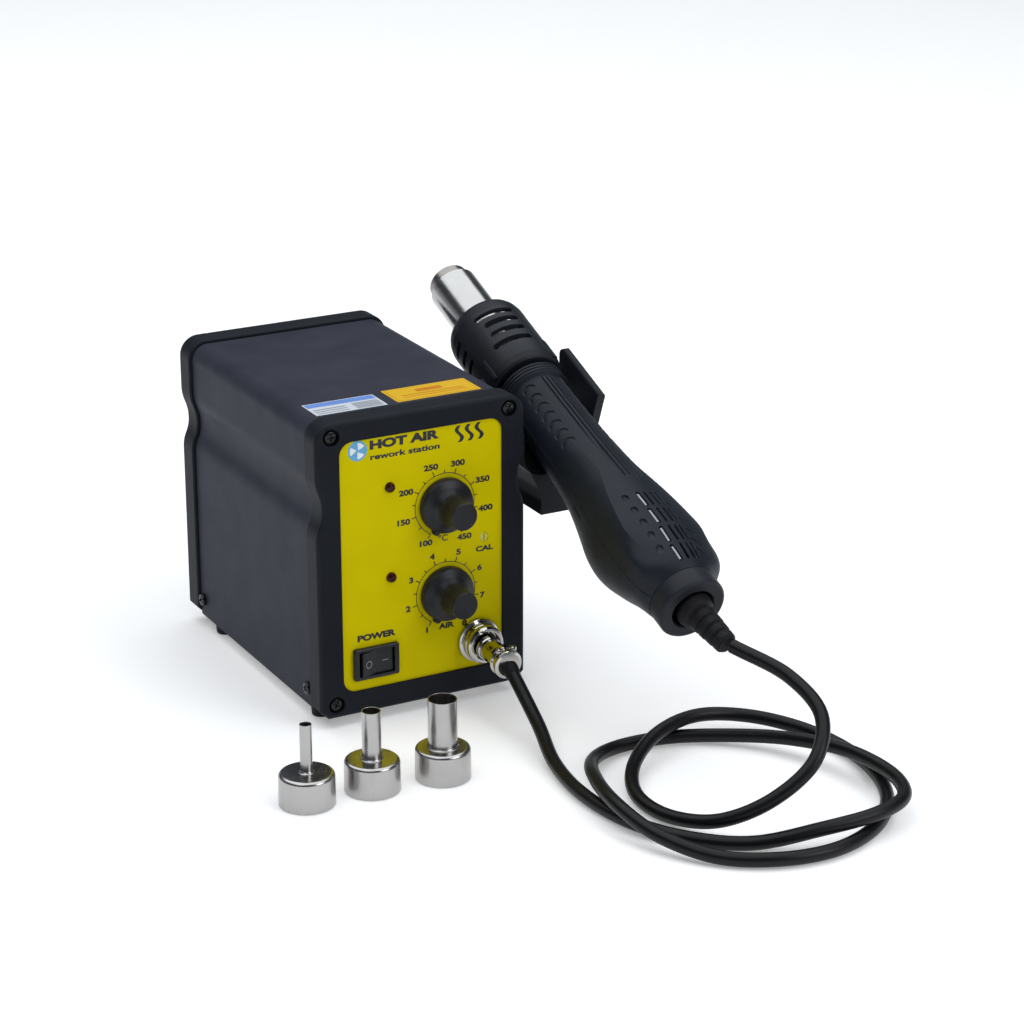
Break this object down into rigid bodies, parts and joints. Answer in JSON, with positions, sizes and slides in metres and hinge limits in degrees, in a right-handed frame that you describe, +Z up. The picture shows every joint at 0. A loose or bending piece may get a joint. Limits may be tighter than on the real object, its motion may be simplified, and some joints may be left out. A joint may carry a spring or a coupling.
{
  "type": "hot air station",
  "caption": "Benchtop hot air rework station: control unit with two dials, a blower handpiece in a side cradle, its coiled lead and loose nozzles.",
  "frame": {"origin": "on the resting surface, under the middle of the box round the control unit, handpiece and nozzles, the lead and its plug left out", "axes": "+X to the right seen from the front, +Y from the front panel to the back, +Z up"},
  "size_m": [0.2351, 0.3583, 0.1635],
  "materials": {
    "cover_paint": "satin charcoal powder coat",
    "sheet_steel": "plain zinc-plated sheet",
    "case_plastic": "fine-grained black moulding",
    "knob_plastic": "satin black moulding",
    "panel_yellow": "smooth printed overlay, saturated yellow",
    "screw_black": "black oxide",
    "rubber_black": "matt black rubber",
    "satin_steel": "turned and polished stainless steel",
    "bright_chrome": "bright nickel plate",
    "dark_iron": "varnished laminations",
    "led_red": "dark red moulded lens",
    "board_green": "solder-masked board",
    "coil_tape": "varnished winding tape",
    "handle_plastic": "fine matt texture, black",
    "ceramic_white": "unglazed ceramic",
    "mica_sheet": "rolled mica sheet",
    "motor_brass": "plain",
    "cord_black": "glossy black sheath"
  },
  "bodies": {
    "station": {"top_cover": "cover_paint", "chassis_plate": "sheet_steel", "front_bezel": "case_plastic", "rear_bezel": "case_plastic", "rear_panel": "case_plastic", "switch_housing": "case_plastic", "mains_inlet": "case_plastic", "cradle": "case_plastic", "front_panel": "panel_yellow", "front_screw_1": "screw_black", "front_screw_2": "screw_black", "front_screw_3": "screw_black", "front_screw_4": "screw_black", "rear_screw_1": "screw_black", "rear_screw_2": "screw_black", "rear_screw_3": "screw_black", "rear_screw_4": "screw_black", "side_screw_1": "screw_black", "side_screw_2": "screw_black", "side_screw_3": "screw_black", "side_screw_4": "screw_black", "foot_1": "rubber_black", "foot_2": "rubber_black", "foot_3": "rubber_black", "foot_4": "rubber_black", "socket_body": "satin_steel", "cradle_screw_1": "satin_steel", "cradle_screw_2": "satin_steel", "socket_nut": "bright_chrome", "plug_shell": "bright_chrome", "plug_clamp": "bright_chrome", "temperature_potentiometer": "dark_iron", "air_potentiometer": "dark_iron", "transformer_core": "dark_iron", "heater_led": "led_red", "fan_led": "led_red", "main_board": "board_green", "transformer_coil": "coil_tape", "cable": "cord_black"},
    "temperature_dial": {"temperature_knob": "knob_plastic", "temperature_shaft": "satin_steel"},
    "air_dial": {"air_knob": "knob_plastic", "air_shaft": "satin_steel"},
    "rocker": {"power_rocker": "case_plastic"},
    "cal_adjuster": {"cal_trimmer": "panel_yellow"},
    "coupling_ring": {"plug_ring": "bright_chrome"},
    "drawer": {"fuse_drawer": "case_plastic"},
    "gun": {"handle_top": "handle_plastic", "handle_bottom": "handle_plastic", "tail_ring": "handle_plastic", "nose_guard": "handle_plastic", "barrel": "satin_steel", "heater_core": "ceramic_white", "mica_sleeve": "mica_sheet", "blower_motor": "motor_brass", "strain_relief": "rubber_black"},
    "fan": {"blower_impeller": "handle_plastic"},
    "small_nozzle": {"nozzle_small": "satin_steel"},
    "medium_nozzle": {"nozzle_medium": "satin_steel"},
    "large_nozzle": {"nozzle_large": "satin_steel"}
  },
  "joints": [
    {"name": "temperature_turn", "type": "hinge", "parent": "station", "child": "temperature_dial", "pos_m": [0.00965, -0.02244, 0.094], "axis": [0, 1, 0], "range_deg": [0, 305]},
    {"name": "air_turn", "type": "hinge", "parent": "station", "child": "air_dial", "pos_m": [0.00975, -0.02244, 0.0531], "axis": [0, 1, 0], "range_deg": [0, 305]},
    {"name": "power_rock", "type": "hinge", "parent": "station", "child": "rocker", "pos_m": [-0.02475, -0.01244, 0.0277], "axis": [0, 0, 1], "range_deg": [-18, 0]},
    {"name": "cal_turn", "type": "hinge", "parent": "station", "child": "cal_adjuster", "pos_m": [0.02875, -0.01145, 0.0755], "axis": [0, 1, 0], "range_deg": [-135, 135]},
    {"name": "ring_turn", "type": "hinge", "parent": "station", "child": "coupling_ring", "pos_m": [0.02535, -0.01945, 0.028], "axis": [0, 1, 0], "continuous": true},
    {"name": "drawer_slide", "type": "slide", "parent": "station", "child": "drawer", "axis": [0, 1, 0], "range_m": [0, 0.015]},
    {"name": "gun_lift", "type": "slide", "parent": "station", "child": "gun", "axis": [0, -0.3645, 0.9312], "range_m": [0, 0.06]},
    {"name": "fan_spin", "type": "hinge", "parent": "gun", "child": "fan", "pos_m": [0.07455, -0.07818, 0.08174], "axis": [0.1478, -0.3605, 0.921], "continuous": true},
    {"name": "small_nozzle_lift", "type": "slide", "parent": "station", "child": "small_nozzle", "axis": [0, 0, 1], "range_m": [0, 0.05]},
    {"name": "medium_nozzle_lift", "type": "slide", "parent": "station", "child": "medium_nozzle", "axis": [0, 0, 1], "range_m": [0, 0.05]},
    {"name": "large_nozzle_lift", "type": "slide", "parent": "station", "child": "large_nozzle", "axis": [0, 0, 1], "range_m": [0, 0.05]}
  ]
}
